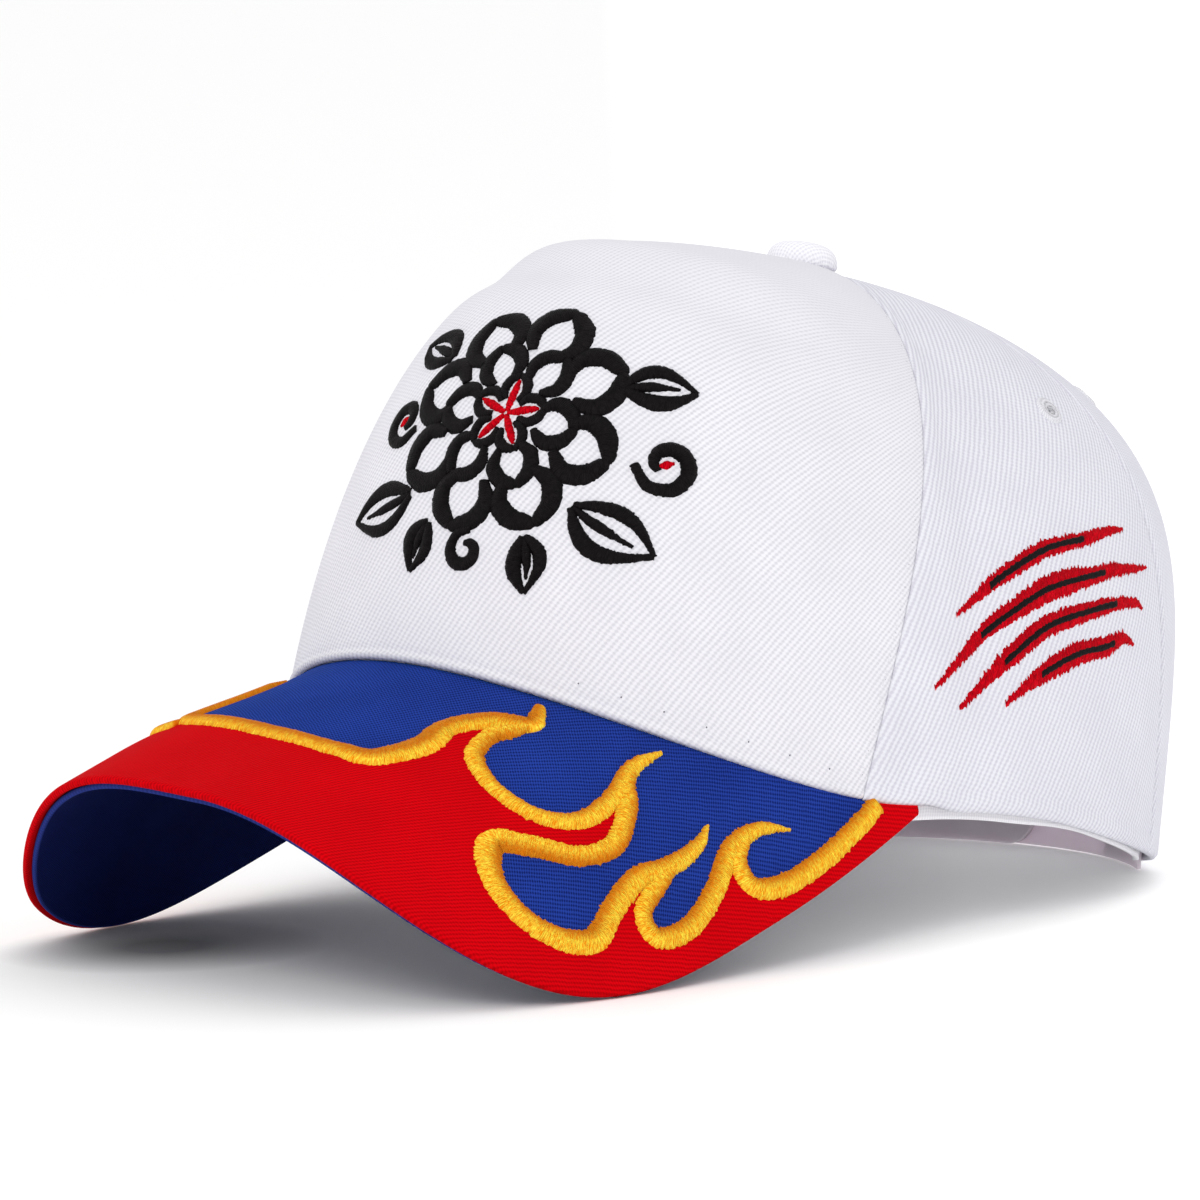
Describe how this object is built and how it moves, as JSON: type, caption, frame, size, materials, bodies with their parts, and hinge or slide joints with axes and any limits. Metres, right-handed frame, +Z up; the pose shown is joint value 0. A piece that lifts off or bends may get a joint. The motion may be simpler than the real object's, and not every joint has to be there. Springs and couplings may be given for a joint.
{
  "type": "cap",
  "caption": "Five-panel cloth cap with a high front, a steeply curved peak, bound eyelets, a top button and a snap strap across an arched opening in the back.",
  "frame": {"origin": "on the surface that the cap stands on, under the middle of its bounding box", "axes": "+X towards the wearer's left, +Y towards the back, +Z up; the peak points along -Y"},
  "size_m": [0.1682, 0.2674, 0.1461],
  "materials": {
    "white_twill": "matt cotton twill",
    "red_twill": "matt ribbed cotton twill",
    "blue_twill": "matt cotton twill",
    "white_tape": "soft brushed tape",
    "white_thread": "twisted sewing thread",
    "gold_thread": "satin stitched rayon thread",
    "black_thread": "satin stitched rayon thread",
    "red_thread": "satin stitched rayon thread",
    "strap_plastic": "soft moulded strap with a faint mauve tint"
  },
  "bodies": {
    "root": {"front_panel": "white_twill", "side_panel_left": "white_twill", "side_panel_right": "white_twill", "back_panel_left": "white_twill", "back_panel_right": "white_twill", "peak_top": "red_twill", "peak_lining": "blue_twill", "sweatband": "white_tape", "strap_holes": "strap_plastic", "strap_pegs": "strap_plastic", "top_button": "white_twill", "eyelet_side_left": "white_thread", "eyelet_side_right": "white_thread", "eyelet_back_left": "white_thread", "eyelet_back_right": "white_thread"}
  },
  "joints": []
}
